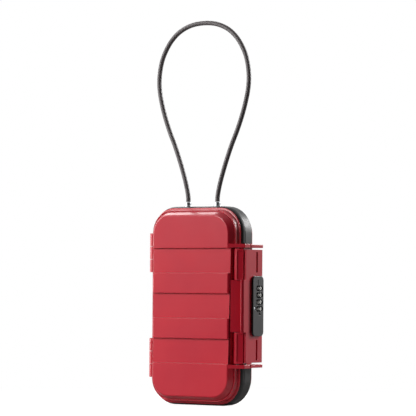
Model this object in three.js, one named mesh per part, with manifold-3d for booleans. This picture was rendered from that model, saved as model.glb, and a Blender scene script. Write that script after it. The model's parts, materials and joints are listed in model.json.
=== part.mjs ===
// Portable car safe: two moulded shells hinged like a book, edged with a black bumper,
// closed by a hinged latch that carries a four-dial lock, and hung from a coated steel cable.
//
// Millimetres. While a piece is being made, x runs from the hinge side to the latch side,
// y is the depth behind the lid's front face, and z is the height above the middle of the box.
// The finished safe stands with its origin under the middle of its depth.

import * as THREE from 'three';
import { mergeVertices } from 'three/addons/utils/BufferGeometryUtils.js';
import Module from 'manifold-3d';

const wasm = await Module();
wasm.setup();

// Driving dimensions of the box
const faceWidth = 92;
const faceHeight = 181;
const faceCorner = 19; // radius of the face's corners
const depth = 42; // lid front to back face
const seamDepth = 17.4; // lid front to the seam between the shells
const seamGap = 0.4;
const wall = 2.4;
const fit = 0.3; // clearance between pieces that touch, slide or turn
const cornerSteps = 8; // facets in each quarter of a rounded corner
const lidCornerGrowth = 0.75; // share of an outline's offset that its corners' radius gains
const baseCornerGrowth = 1;

// The stepped skirt round each face, as offsets outside the face's outline
const edgeRound = 1.5; // soft edge of the face
const stepDepth = 5.6; // face to the groove round it
const stepFlare = 2.8;
const grooveWidth = 0.8;
const grooveDepth = 0.9;
const grooveLip = 0.2; // how much lower the groove's outer edge lies
const shoulderFlare = 4.4;
const shoulderRound = 0.7;
const shoulderLean = 0.6; // flare that the shoulder gains on its way to the rim
const rimDepth = 11.2; // face to the front of the rim
const rimFlare = 6.9;
const rimLean = 0.2;
const rimRound = 0.45;
const rimThickness = 0.8;
const behindGroove = 0.3; // extra wall behind the groove
const cavityEase = 2.2; // depth over which the room inside widens to its full size
const bumperThickness = 3.8;
const bumperNose = [[0, 3], [0.5, 1.9], [1.3, 1], [2.6, 0.3], [4.3, 0]]; // depth and drop of its round front
const bumperEdge = 0.5;

// Sunken bands across the lid
const bandCount = 3;
const bandHeight = 24.4;
const bandPitch = 44.8;
const bandDepth = 2.8;
const bandDraft = 0.3; // how much each side of a band leans open

// Hinges
const hingeSpread = 105.6; // between the middles of the two hinges
const hingeLength = 39.2;
const barrelRadius = 4;
const hingePinRadius = 1.5;
const hingeReach = 2.5; // from the bumper to the hinge axis
const bumperBridge = 1.8; // left of the lid's bumper in front of a hinge arm
const pinChamfer = 0.3;

// Latch flap
const flapHeight = 111.6;
const flapFront = 4.2; // depth of the thumb edge
const flapNoseWidth = 1.5; // slope on the thumb edge, across the plate's thickness
const flapNoseDepth = 2.1;
const flapShy = 2.5; // from the flap's rear edge to the back of the box
const flapThickness = 2.5;
const fingerHeight = 29.9;
const fingerBend = 9.8; // depth where the fingers leave the plate
const fingerWidth = 1.4; // flat front of a finger, beside its pivot
const fingerPast = 1; // how far a finger's nose runs on past the plate's end
const channelWidth = 1.6; // between a finger's nose and the plate
const channelDepth = 2.1; // below the flap's outer face
const pivotReach = 1.2; // from the side wall to the pivot
const pivotY = 8.4;
const knuckleRadius = 3.6;
const latchPinRadius = 1.3;
const panelMargin = 1.5; // border of the sunken panel on a finger
const panelDepth = 0.7;
const slotWidth = 2.4;
const slotHeight = 20;
const slotDepth = 1.3;
const slotInset = 10.2; // from the flap's rear edge
const slotShift = 2.5; // from the finger's middle towards the guard
const flapEdge = 0.6; // softened edges of the flap
const pocketGap = 0.8; // round the fingers' knuckles
const pinEngagement = 5; // how far a latch pin reaches into the block between the fingers

// Ramp between the fingers, on the block that carries them
const rampRoot = 1.5; // inside the face's edge
const rampLevel = 1.3; // how far the bands' level runs on past the face's edge
const rampCover = 3.2; // depth of the block in front of the pivot
const rampSink = 0.4; // from the pivot's depth back to the ramp's lowest edge

// Guard flanges above and below the flap
const guardThickness = 3.7;
const guardGap = 1.8; // between the flap and a guard
const guardProud = 0.5; // outside the flap
const guardFront = 7.3; // depth where the sloping front meets the outer face
const guardPast = 0.4; // behind the flap's rear edge
const guardRoot = 0.3; // inside the face's edge
const guardSet = 0.4; // the sloping front starts this far behind the face
const guardEdgeCut = 0.8;
const earShy = 0.5; // an ear is thinner than the guard before it
const earGap = 0.7; // behind the seam

// Lock
const housingHeight = 59.6;
const housingInset = 1.5; // from the flap's rear edge
const housingProud = 2.4; // above the flap's outer face
const housingCorner = 4.5;
const tubHeight = 54.4;
const tubInset = 0.7; // from the housing's rear edge
const tubWall = 1.2;
const housingBevel = 0.5;
const housingScrewZ = 20;
const screwMargin = 0.5; // between a screw's head and the tub
const backScrewInset = 2.7; // from the tub's ends
const backScrewReach = 5.2;
const lockGap = 0.5; // between the side wall and the lock behind the flap
const coverThickness = 1; // the housing's face over the dials
const backPlateThickness = 1.1;
const dialCount = 4;
const dialRadius = 5.3;
const dialThickness = 4.5;
const dialPitch = 6.8;
const dialHead = 9.5; // from the top of the tub to the middle of the uppermost dial
const dialProud = 1.1; // above the housing's face
const dialDigits = 10;
const dialNotch = 0.35;
const dialBore = 1.6;
const dialHeadroom = 0.2;
const sleeveThickness = 1.5;
const gateWidth = 1.8;
const gateRoot = 0.8; // metal left between a sleeve's gate and its bore
const windowHeight = 5.2;
const windowLength = 11.6;
const spindleRadius = 1.1;
const boltTravel = 2.8;
const boltNoseThickness = 2.6;
const boltNoseWidth = 3.4;
const boltNoseInset = 2.2; // from the inside of the tub
const boltNoseAhead = 2.5; // in front of the dials' axis
const boltNoseProud = 0.8; // below the tub while the lock is open
const boltBlock = 4.5; // height of the block above the nose
const boltMargin = 1.8; // block round the nose and the spindle
const boltFloor = 0.4; // left under the block at the end of its travel
const springWire = 0.35;
const springTurns = 4;
const springGap = 0.9; // from the spindle to the middle of the wire
const tongueWidth = 3;
const combFoot = 2;
const combThickness = 0.5;
const resetRadius = 1.5;
const resetGap = 1.1; // between the button and the dials
const resetZ = -2.1;
const resetSunk = 0.4; // below the housing's face
const resetLength = 3.6;
const resetChamfer = 0.3;
const screwRadius = 1; // all the small screws
const screwHeadRadius = 2;
const screwHead = 1.1;
const screwEdge = 0.4;

// Keeper under the lock, for the bolt
const keeperThickness = 1.5;
const keeperFlange = 10;
const keeperDrop = 2; // below the tub
const keeperGap = 0.7; // between the keeper and the flap
const keeperReach = [4, 6.2]; // in front of the bolt's nose and behind it
const keeperScrewOffsets = [-1.7, 3.9]; // from the bolt's nose
const keeperScrewDrop = 0.8; // below the flange's middle

// Cable
const cableRadius = 2.3;
const cableSpread = 35.6; // between the two ends
const cableInset = 4.2; // behind the seam
const ferruleRadius = 3;
const ferruleProud = 4.6; // above the bumper
const collarRadius = 3.9;
const collarHeight = 4;
const eyeletWidth = 0.65;
const eyeletHeight = 1;
const ferruleRound = 0.6;
const cableTop = 184; // crest of the loop above the box
const retainerThickness = 1.4;
const retainerMargin = 2; // past the collars
const postSpread = 17;
const postRadius = 3;

// Foam liners
const linerThickness = 3;
const linerGap = 0.2; // under the foam
const linerSide = 0.4; // beside it
const linerSoft = 0.7; // its softened edge

// Sizes that follow from those above
const bumperInner = shoulderFlare + fit;
const bumperOuter = bumperInner + bumperThickness;
const rimBack = rimDepth + rimThickness;
const halfHeight = faceHeight / 2 + bumperOuter;
const wallX = faceWidth / 2 + shoulderFlare;
const slopeWall = 1.15 * wall; // the wall measured across the sloping skirt
const cavityFlare = shoulderFlare - wall;
const cavityTop = faceHeight / 2 + cavityFlare;
const lidFloor = bandDepth + wall;
const lidSeam = seamDepth - seamGap / 2;
const baseSeam = seamDepth + seamGap / 2;
const hingeX = -(faceWidth / 2 + bumperOuter + hingeReach);
const hingeArm = lidSeam - rimBack - fit - bumperBridge; // thickness of the barrels' arms
const knuckleLength = (hingeLength - 2 * fit) / 3;

// The lock is laid out from the side wall outwards, and the flap lies round it
const plateInner = wallX + lockGap;
const plateOuter = plateInner + backPlateThickness;
const tubInner = plateOuter + fit;
const dialX = tubInner + combThickness + 2 * fit + dialRadius;
const housingOuter = dialX + dialRadius - dialProud;
const flapOuter = housingOuter - housingProud;
const housingInner = flapOuter + fit;
const flapInner = flapOuter - flapThickness;
const guardOuter = flapOuter + guardProud;
const pivotX = wallX + pivotReach;

// Depths on the latch side follow from the flap's rear edge
const flapBack = depth - flapShy;
const guardBack = flapBack + guardPast;
const housingBack = flapBack - housingInset;
const tubBack = housingBack - tubInset;
const dialY = tubBack - tubWall - fit - dialRadius;
const tubFront = dialY - dialRadius - fit - tubWall;
const housingScrewY = tubFront - screwMargin - screwHeadRadius;
const housingFront = housingScrewY - screwHeadRadius;
const slotY = flapBack - slotInset;
const resetY = dialY - dialRadius - resetGap - resetRadius;
const boltNoseX = tubInner + boltNoseInset;
const boltNoseY = dialY - boltNoseAhead;
const cableY = seamDepth + cableInset;

const fingerInner = flapHeight / 2 - fingerHeight;
const guardInner = flapHeight / 2 + guardGap;
const guardEdge = guardInner + guardThickness;
const pocketInner = pivotX - knuckleRadius - pocketGap;
const pocketBack = pivotY + knuckleRadius + fit;
const bossOuter = flapInner - screwHead - 2 * fit;
const latchWall = pocketInner - 0.8 * wall; // inside of the lid's wall behind the pockets
const earRoot = wallX - wall / 2; // where what stands on a side wall starts
const sleeveRadius = housingOuter - coverThickness - dialX - fit;
const far = 200; // longer than anything that is cut
const bite = 0.5; // overlap of two forms that become one piece

// Solids

function solid(geometry) {
  geometry.deleteAttribute('normal');
  geometry.deleteAttribute('uv');
  const merged = mergeVertices(geometry, 1e-4);
  const position = merged.attributes.position.array;
  const index = Uint32Array.from(merged.index.array);
  let volume = 0;
  const a = new THREE.Vector3();
  const b = new THREE.Vector3();
  const c = new THREE.Vector3();
  for (let i = 0; i < index.length; i += 3) {
    a.fromArray(position, 3 * index[i]);
    b.fromArray(position, 3 * index[i + 1]);
    c.fromArray(position, 3 * index[i + 2]);
    volume += a.dot(b.cross(c));
  }
  if (volume < 0) {
    for (let i = 0; i < index.length; i += 3) {
      [index[i], index[i + 1]] = [index[i + 1], index[i]];
    }
  }
  return new wasm.Manifold(
    new wasm.Mesh({ numProp: 3, vertProperties: Float32Array.from(position), triVerts: index }),
  );
}

function shapeOf(points, holes = []) {
  const shape = new THREE.Shape(points.map(([u, v]) => new THREE.Vector2(u, v)));
  for (const hole of holes) {
    shape.holes.push(new THREE.Path(hole.map(([u, v]) => new THREE.Vector2(u, v))));
  }
  return shape;
}

const upright = new THREE.Matrix4();
const acrossX = new THREE.Matrix4().makeBasis(
  new THREE.Vector3(0, 1, 0),
  new THREE.Vector3(0, 0, 1),
  new THREE.Vector3(1, 0, 0),
);

function prism(points, from, to, turn, holes) {
  const geometry = new THREE.ExtrudeGeometry(shapeOf(points, holes), {
    depth: to - from,
    bevelEnabled: false,
    steps: 1,
  });
  geometry.translate(0, 0, from);
  geometry.applyMatrix4(turn);
  return solid(geometry);
}

// An outline in x and y, carried from one height to another
const prismZ = (points, z0, z1, holes) => prism(points, z0, z1, upright, holes);

// An outline in y and z, carried across from one x to another
const prismX = (points, x0, x1, holes) => prism(points, x0, x1, acrossX, holes);

function rectangle(u0, u1, v0, v1) {
  return [[u0, v0], [u1, v0], [u1, v1], [u0, v1]];
}

function circle(u, v, radius, sides = 16) {
  const points = [];
  for (let i = 0; i < sides; i += 1) {
    const angle = (2 * Math.PI * (i + 0.5)) / sides;
    points.push([u + radius * Math.cos(angle), v + radius * Math.sin(angle)]);
  }
  return points;
}

function roundedRectangle(u0, u1, v0, v1, radius, steps) {
  const corners = [
    [u1 - radius, v1 - radius],
    [u0 + radius, v1 - radius],
    [u0 + radius, v0 + radius],
    [u1 - radius, v0 + radius],
  ];
  const points = [];
  corners.forEach(([u, v], quarter) => {
    for (let i = 0; i <= steps; i += 1) {
      const angle = (Math.PI / 2) * (quarter + i / steps);
      points.push([u + radius * Math.cos(angle), v + radius * Math.sin(angle)]);
    }
  });
  return points;
}

// The same range of heights above the middle and below it
const bothEnds = (inner, outer) => [[inner, outer], [-outer, -inner]];

const box = (x0, x1, y0, y1, z0, z1) => prismZ(rectangle(x0, x1, y0, y1), z0, z1);
const rod = (x, y, radius, z0, z1, sides) => prismZ(circle(x, y, radius, sides), z0, z1);
const crossRod = (y, z, radius, x0, x1, sides) => prismX(circle(y, z, radius, sides), x0, x1);

// A solid through outlines of the face, each pushed out by an offset at its own depth
function loft(profile, cornerGrowth) {
  const count = 4 * (cornerSteps + 1);
  const positions = [];
  const index = [];
  for (const [y, offset] of profile) {
    const u = faceWidth / 2 + offset;
    const v = faceHeight / 2 + offset;
    const corner = faceCorner + cornerGrowth * offset;
    for (const [x, z] of roundedRectangle(-u, u, -v, v, corner, cornerSteps)) {
      positions.push(x, y, z);
    }
  }
  for (let ring = 0; ring + 1 < profile.length; ring += 1) {
    for (let i = 0; i < count; i += 1) {
      const here = ring * count + i;
      const next = ring * count + ((i + 1) % count);
      index.push(here, here + count, next, next, here + count, next + count);
    }
  }
  const last = (profile.length - 1) * count;
  for (let i = 1; i + 1 < count; i += 1) {
    index.push(0, i, i + 1, last, last + i + 1, last + i);
  }
  const geometry = new THREE.BufferGeometry();
  geometry.setAttribute('position', new THREE.Float32BufferAttribute(positions, 3));
  geometry.setIndex(index);
  return solid(geometry);
}

// A solid of revolution about a vertical axis, from radii and heights
function turned(profile, segments = 20) {
  const points = profile.map(([radius, z]) => new THREE.Vector2(radius, z));
  const geometry = new THREE.LatheGeometry(points, segments);
  geometry.rotateX(Math.PI / 2);
  return solid(geometry);
}

const joined = (pieces) => pieces.reduce((whole, piece) => whole.add(piece));
const without = (whole, cutters) => cutters.reduce((rest, cutter) => rest.subtract(cutter), whole);

// Scene

const material = (color, roughness, metalness) =>
  new THREE.MeshStandardMaterial({ color, roughness, metalness });

const redPlastic = material(0xb01524, 0.3, 0);
const bumperBlack = material(0x1d1c1e, 0.4, 0);
const lockGrey = material(0x3f3d40, 0.35, 0.2);
const dialBlack = material(0x1a1a1b, 0.45, 0);
const steel = material(0xb9bcc0, 0.3, 1);
const brass = material(0xb8975a, 0.35, 1);
const foam = material(0x2b2b2d, 0.95, 0);
const vinyl = material(0x3c393b, 0.35, 0);

const safe = new THREE.Group();
safe.position.set(0, -depth / 2, halfHeight);
const base = new THREE.Group();
const lid = new THREE.Group();
const latch = new THREE.Group();
safe.add(base, lid);
lid.add(latch);

function add(group, name, body, finish) {
  const { vertProperties, triVerts, numProp } = body.getMesh();
  const positions = [];
  for (let i = 0; i < vertProperties.length; i += numProp) {
    positions.push(vertProperties[i], vertProperties[i + 1], vertProperties[i + 2]);
  }
  const geometry = new THREE.BufferGeometry();
  geometry.setAttribute('position', new THREE.Float32BufferAttribute(positions, 3));
  geometry.setIndex([...triVerts]);
  geometry.computeVertexNormals();
  const mesh = new THREE.Mesh(geometry, finish);
  mesh.name = name;
  group.add(mesh);
  return mesh;
}

// Shells

// The skirt from a face back to its rim: distance behind the face, and offset
function skirt() {
  const slope = Math.atan2(stepDepth, stepFlare);
  const profile = [];
  const edgeSteps = 2;
  for (let i = 0; i <= edgeSteps; i += 1) {
    const angle = (slope * i) / edgeSteps;
    profile.push([edgeRound * (1 - Math.cos(angle)), -edgeRound * (1 - Math.sin(angle))]);
  }
  profile.push(
    [stepDepth, stepFlare],
    [stepDepth + grooveDepth, stepFlare],
    [stepDepth + grooveDepth, stepFlare + grooveWidth],
  );
  for (let i = 0; i <= edgeSteps; i += 1) {
    const angle = ((Math.PI / 2) * i) / edgeSteps;
    profile.push([
      stepDepth + grooveLip + shoulderRound * (1 - Math.cos(angle)),
      shoulderFlare - shoulderRound * (1 - Math.sin(angle)),
    ]);
  }
  profile.push(
    [rimDepth - rimLean, shoulderFlare + shoulderLean],
    [rimDepth, rimFlare - rimRound],
    [rimDepth + rimRound, rimFlare],
    [rimBack, rimFlare],
    [rimBack, shoulderFlare],
  );
  return profile;
}

const skirtFlare = (distance) => Math.min((stepFlare * distance) / stepDepth, stepFlare);

// The room inside, from its floor to the seam
function cavity(floor, seam) {
  const behind = stepDepth + grooveDepth + behindGroove;
  return [
    [floor, skirtFlare(floor) - slopeWall],
    [behind, stepFlare - slopeWall],
    [behind + cavityEase, cavityFlare],
    [seam + 1, cavityFlare],
  ];
}

const fromBack = (profile) => profile.map(([y, offset]) => [depth - y, offset]).reverse();

const hingeMiddles = [hingeSpread / 2, -hingeSpread / 2];

// Heights of a hinge's barrels: the lid's is the middle one of three
const lidKnuckle = (middle) => [middle - knuckleLength / 2, middle + knuckleLength / 2];
const baseKnuckles = (middle) => [
  [middle - hingeLength / 2, middle - knuckleLength / 2 - fit],
  [middle + knuckleLength / 2 + fit, middle + hingeLength / 2],
];

function knuckle([z0, z1], armFront, armBack) {
  return rod(hingeX, seamDepth, barrelRadius, z0, z1, 20)
    .add(box(hingeX, -earRoot, armFront, armBack, z0, z1));
}

const hingeBores = hingeMiddles.map((middle) =>
  rod(hingeX, seamDepth, hingePinRadius + fit, middle - hingeLength, middle + hingeLength));

function lidShell() {
  let shell = loft([...skirt(), [lidSeam, shoulderFlare]], lidCornerGrowth);
  let hollow = loft(cavity(wall, lidSeam), lidCornerGrowth);
  const half = bandHeight / 2;
  for (let i = 0; i < bandCount; i += 1) {
    const middle = bandPitch * (i - (bandCount - 1) / 2);
    hollow = hollow.subtract(
      box(-far, far, 0, lidFloor, middle - half - wall, middle + half + wall),
    );
    shell = shell.subtract(prismX([
      [-1, middle - half - bandDraft],
      [0, middle - half - bandDraft],
      [bandDepth, middle - half + bandDraft],
      [bandDepth, middle + half - bandDraft],
      [0, middle + half + bandDraft],
      [-1, middle + half + bandDraft],
    ], -far, far));
  }

  // The block that carries the latch, with its ramp between the fingers
  const ramp = [
    [faceWidth / 2 - rampRoot, bandDepth + rampSink],
    [faceWidth / 2 + rampLevel, bandDepth],
    [pivotX, pivotY - rampCover],
    [bossOuter, pivotY + rampSink / 2],
    [bossOuter, lidSeam],
    [faceWidth / 2 - rampRoot, lidSeam],
  ];
  const guard = [
    [faceWidth / 2 - guardRoot, guardSet],
    [guardOuter, guardFront],
    [guardOuter, lidSeam],
    [faceWidth / 2 - guardRoot, lidSeam],
  ];
  shell = joined([
    shell,
    prismZ(ramp, -guardInner - bite, guardInner + bite),
    prismZ(guard, guardInner, guardEdge),
    prismZ(guard, -guardEdge, -guardInner),
    ...hingeMiddles.map((middle) => knuckle(lidKnuckle(middle), lidSeam - hingeArm, lidSeam)),
  ]);

  // The wall behind the latch's pockets takes its share of the room inside
  hollow = hollow.subtract(box(latchWall, far, -1, depth, -guardEdge, guardEdge));
  const pockets = bothEnds(fingerInner - fit, guardInner)
    .map(([z0, z1]) => box(pocketInner, far, bandDepth - grooveLip, pocketBack, z0, z1));
  const pinHoles = bothEnds(fingerInner - pinEngagement, far)
    .map(([z0, z1]) => rod(pivotX, pivotY, latchPinRadius + fit / 2, z0, z1));
  return without(shell, [hollow, ...pockets, ...pinHoles, ...hingeBores]);
}

const cableEnds = [-cableSpread / 2, cableSpread / 2];
const posts = [-postSpread / 2, postSpread / 2];
const collarTop = cavityTop - fit;
const collarBottom = collarTop - collarHeight;
const retainerTop = collarBottom - fit;
const retainerBottom = retainerTop - retainerThickness;

// The keeper is a bracket under the lock that the bolt drops into
const tubEdge = tubHeight / 2;
const keeperTop = -(tubEdge + keeperDrop);
const keeperX = wallX + fit;
const keeperScrewZ = keeperTop - keeperFlange / 2 - keeperScrewDrop;
const keeperScrews = keeperScrewOffsets.map((offset) => boltNoseY + offset);
const postBoreTop = cavityTop - 0.2 * wall; // blind, so that the top stays whole

function baseShell() {
  const wallToSeam = [[depth - baseSeam, shoulderFlare]];
  let shell = loft(fromBack([...skirt(), ...wallToSeam]), baseCornerGrowth);
  const room = loft(fromBack(cavity(wall, depth - baseSeam)), baseCornerGrowth);
  shell = shell.subtract(room);
  shell = shell.subtract(box(wallX, far, 0, far, -guardInner, guardInner));
  const ear = [
    [earRoot, baseSeam + earGap],
    [guardOuter, baseSeam + earGap],
    [guardOuter, guardBack - guardEdgeCut],
    [guardOuter - guardEdgeCut, guardBack],
    [faceWidth / 2 - guardRoot, guardBack],
    [faceWidth / 2 - guardRoot, depth - stepDepth],
    [earRoot, depth - stepDepth - cavityEase],
  ];
  shell = joined([
    shell,
    prismZ(ear, guardInner, guardEdge - earShy),
    prismZ(ear, -(guardEdge - earShy), -guardInner),
    ...hingeMiddles.flatMap((middle) => baseKnuckles(middle))
      .map((heights) => knuckle(heights, baseSeam, baseSeam + hingeArm)),
    ...posts.map((x) => rod(x, cableY, postRadius, retainerTop + fit, cavityTop + wall / 2)),
  ]);
  return without(shell, [
    ...hingeBores,
    ...cableEnds.map((x) => rod(x, cableY, ferruleRadius + fit, collarBottom, halfHeight + 1)),
    ...posts.map((x) => rod(x, cableY, screwRadius + fit, collarBottom - 1, postBoreTop)),
    ...keeperScrews.map((y) =>
      crossRod(y, keeperScrewZ, screwRadius + fit, wallX - 0.75 * wall, far)),
  ]);
}

function bumper(profile, cornerGrowth, armFront, armBack, arms) {
  const from = profile[0][0];
  const to = profile[profile.length - 1][0];
  const opening = loft([[from - 1, bumperInner], [to + 1, bumperInner]], cornerGrowth);
  const ring = loft(profile, cornerGrowth).subtract(opening);
  const notches = hingeMiddles.map((middle) => rod(
    hingeX, seamDepth, barrelRadius + fit,
    middle - hingeLength / 2 - fit, middle + hingeLength / 2 + fit, 20,
  ));
  const armSlots = arms.map(([z0, z1]) => box(-far, 0, armFront, armBack, z0 - fit, z1 + fit));
  const latchSide = box(faceWidth / 2, far, 0, depth, -guardEdge - fit, guardEdge + fit);
  return without(ring, [...notches, ...armSlots, latchSide]);
}

const lidBumperProfile = [
  ...bumperNose.map(([run, drop]) => [rimBack + fit + run, bumperOuter - drop]),
  [lidSeam, bumperOuter],
];
const baseBumperProfile = [
  [baseSeam, bumperOuter],
  [depth - rimBack - fit - bumperEdge, bumperOuter],
  [depth - rimBack - fit, bumperOuter - bumperEdge],
];

add(base, 'base_shell', baseShell(), redPlastic);
add(lid, 'lid_shell', lidShell(), redPlastic);
add(lid, 'lid_bumper', bumper(
  lidBumperProfile,
  lidCornerGrowth,
  lidSeam - hingeArm - fit,
  depth,
  hingeMiddles.map(lidKnuckle),
), bumperBlack);
add(base, 'base_bumper', without(
  bumper(
    baseBumperProfile,
    baseCornerGrowth,
    0,
    baseSeam + hingeArm + fit,
    hingeMiddles.flatMap((middle) => baseKnuckles(middle)),
  ),
  cableEnds.map((x) => rod(x, cableY, ferruleRadius + fit, 0, far)),
), bumperBlack);

// Foam pads that line the two halves
function linerProfile(floor) {
  const flare = skirtFlare(floor) - slopeWall - linerSide;
  return [
    [floor + linerGap, flare],
    [floor + linerThickness - linerSoft, flare],
    [floor + linerThickness, flare - linerSoft],
  ];
}

add(lid, 'lid_liner', loft(linerProfile(lidFloor), lidCornerGrowth).subtract(
  box(latchWall - fit, far, 0, depth, -guardEdge - fit, guardEdge + fit),
), foam);
add(base, 'base_liner', loft(fromBack(linerProfile(wall)), baseCornerGrowth), foam);

// Hinge pins
function hingePin() {
  const end = hingeLength / 2 - fit;
  return turned([
    [0, -end],
    [hingePinRadius - pinChamfer, -end],
    [hingePinRadius, -end + pinChamfer],
    [hingePinRadius, end - pinChamfer],
    [hingePinRadius - pinChamfer, end],
    [0, end],
  ], 16);
}

for (const [i, middle] of hingeMiddles.entries()) {
  add(base, ['hinge_pin_upper', 'hinge_pin_lower'][i], hingePin(), steel)
    .position.set(hingeX, seamDepth, middle);
}

// Latch flap: a plate with two fingers that wrap the pivot pins
const housingScrews = [housingScrewZ, -housingScrewZ].map((z) => [housingScrewY, z]);

function latchFlap() {
  const half = flapHeight / 2;
  const outerEdge = [
    [flapOuter, flapBack - flapEdge],
    [flapOuter - flapEdge, flapBack],
    [flapInner, flapBack],
  ];
  const plate = prismZ([
    [flapInner, flapFront + flapEdge / 2],
    [flapInner + flapEdge / 2, flapFront],
    [flapOuter - flapNoseWidth, flapFront],
    [flapOuter, flapFront + flapNoseDepth],
    ...outerEdge,
  ], -fingerInner, fingerInner);
  const fingerRoot = prismZ([
    [pivotX, fingerBend],
    [flapOuter, fingerBend],
    ...outerEdge,
    [flapInner, pivotY + knuckleRadius],
    [pivotX, pivotY + knuckleRadius],
  ], fingerInner, half);
  const fingerFront = pivotY - knuckleRadius;
  const channelFloor = flapOuter - channelDepth;
  const channelFront = fingerBend - channelWidth;
  const noses = bothEnds(fingerInner, half + fingerPast).map(([z0, z1]) => prismZ([
    [pivotX, fingerFront],
    [pivotX + fingerWidth, fingerFront],
    [channelFloor, channelFront],
    [channelFloor, pivotY + knuckleRadius],
    [pivotX, pivotY + knuckleRadius],
  ], z0, z1).add(rod(pivotX, pivotY, knuckleRadius, z0, z1, 20)));

  // Sunken panel on the sloping outside of each finger, and the slot behind it
  const run = channelFloor - pivotX - fingerWidth;
  const rise = channelFront - fingerFront;
  const length = Math.hypot(run, rise);
  const along = ([distance, lift]) => [
    pivotX + fingerWidth + (run * distance + rise * lift) / length,
    fingerFront + (rise * distance - run * lift) / length,
  ];
  const panelEdge = panelMargin / 4; // its border beside the two bends
  const panel = [
    [panelEdge, panelMargin],
    [panelEdge, -panelDepth],
    [length - panelEdge, -panelDepth],
    [length - panelEdge, panelMargin],
  ].map(along).reverse();
  const slotMiddle = half - fingerHeight / 2 + slotShift;
  const cuts = [
    ...bothEnds(fingerInner + panelMargin, half - panelMargin)
      .map(([z0, z1]) => prismZ(panel, z0, z1)),
    ...bothEnds(slotMiddle - slotHeight / 2, slotMiddle + slotHeight / 2).map(([z0, z1]) => box(
      flapOuter - slotDepth, far, slotY - slotWidth / 2, slotY + slotWidth / 2, z0, z1,
    )),
  ];
  return without(joined([plate, fingerRoot, fingerRoot.mirror([0, 0, 1]), ...noses]), [
    ...cuts,
    box(0, far, tubFront - fit, tubBack + fit, -tubEdge - fit, tubEdge + fit),
    rod(pivotX, pivotY, latchPinRadius + fit, -far, far),
    crossRod(resetY, resetZ, resetRadius + fit, flapInner - 1, far),
    ...housingScrews.map(([y, z]) => crossRod(y, z, screwRadius + fit, flapInner - 1, far)),
  ]);
}

add(latch, 'latch_flap', latchFlap(), redPlastic);

const latchPins = bothEnds(fingerInner - pinEngagement + fit, guardEdge - fit);
for (const [i, [z0, z1]] of latchPins.entries()) {
  add(lid, ['latch_pin_upper', 'latch_pin_lower'][i], turned([
    [0, z0],
    [latchPinRadius, z0],
    [latchPinRadius, z1],
    [0, z1],
  ], 16), steel).position.set(pivotX, pivotY, 0);
}

// Lock housing: a cover on the flap, and a tub behind it that holds the dials and the bolt

const dialTopZ = tubEdge - dialHead;
const dialMiddles = [];
for (let i = 0; i < dialCount; i += 1) {
  dialMiddles.push(dialTopZ - i * dialPitch);
}
const dialPackTop = dialTopZ + dialPitch / 2 + dialHeadroom;
const dialPackBottom = dialTopZ - (dialCount - 0.5) * dialPitch - sleeveThickness / 2 - fit;
const boltChamberTop = dialPackBottom - tubWall;
const boltChamberBottom = -tubEdge + tubWall;
const backScrews = [
  [tubFront + backScrewInset, tubEdge - backScrewInset],
  [tubBack - backScrewInset, -tubEdge + backScrewInset],
];

// The bolt's tongue, or the hole for it where it is made larger by a clearance
function boltNose(gap, z0, z1) {
  const across = boltNoseThickness / 2 + gap;
  const along = boltNoseWidth / 2 + gap;
  return box(
    boltNoseX - across, boltNoseX + across, boltNoseY - along, boltNoseY + along, z0, z1,
  );
}

function lockHousing() {
  const outline = (inset) => roundedRectangle(
    housingFront + inset, housingBack - inset,
    -housingHeight / 2 + inset, housingHeight / 2 - inset,
    housingCorner - inset, 5,
  );
  const cover = prismX(outline(0), housingInner, housingOuter - housingBevel)
    .add(prismX(outline(0.6 * housingBevel), housingInner + bite, housingOuter));
  const tub = prismX(rectangle(tubFront, tubBack, -tubEdge, tubEdge), tubInner, housingInner + bite);
  const cavityFront = tubFront + tubWall;
  const cavityBack = tubBack - tubWall;
  const windows = dialMiddles.map((z) => prismX(roundedRectangle(
    dialY - windowLength / 2, dialY + windowLength / 2,
    z - windowHeight / 2, z + windowHeight / 2,
    0.49 * windowHeight, 5,
  ), housingInner, far));
  const screwBoss = box(
    tubInner, flapInner,
    dialY + boltMargin + fit, tubBack,
    -tubEdge, -tubEdge + 2 * backScrewInset,
  );
  return without(joined([
    without(joined([cover, tub]), [
      prismX(rectangle(cavityFront, cavityBack, dialPackBottom, dialPackTop),
        0, housingOuter - coverThickness),
      prismX(rectangle(cavityFront, cavityBack, boltChamberBottom, boltChamberTop),
        0, housingOuter - 1.4 * coverThickness),
      ...windows,
    ]),
    screwBoss,
  ]), [
    rod(dialX, dialY, spindleRadius + fit, boltChamberBottom + tubWall, tubEdge - tubWall),
    boltNose(fit, -far, boltChamberBottom + tubWall),
    crossRod(resetY, resetZ, resetRadius + fit, flapInner, far),
    ...housingScrews.map(([y, z]) =>
      crossRod(y, z, screwRadius + fit, 0, housingOuter - coverThickness)),
    ...backScrews.map(([y, z]) =>
      crossRod(y, z, screwRadius + fit, 0, plateInner + backScrewReach + fit)),
  ]);
}

add(latch, 'lock_housing', lockHousing(), lockGrey);

// A countersunk head, widened by a clearance where it is the seat that is cut
function sunkHead(gap) {
  return turned([
    [0, -gap],
    [screwHeadRadius + gap, -gap],
    [screwHeadRadius + gap, 0.1],
    [screwRadius + gap, screwHead + gap / 2],
    [0, screwHead + gap / 2],
  ], 16).rotate([0, 90, 0]);
}

add(latch, 'lock_back_plate', without(
  prismX(rectangle(tubFront, tubBack, -tubEdge, tubEdge), plateInner, plateOuter),
  backScrews.flatMap(([y, z]) => [
    crossRod(y, z, screwRadius + fit, 0, far),
    sunkHead(fit).translate([plateInner, y, z]),
  ]),
), steel);

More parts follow.
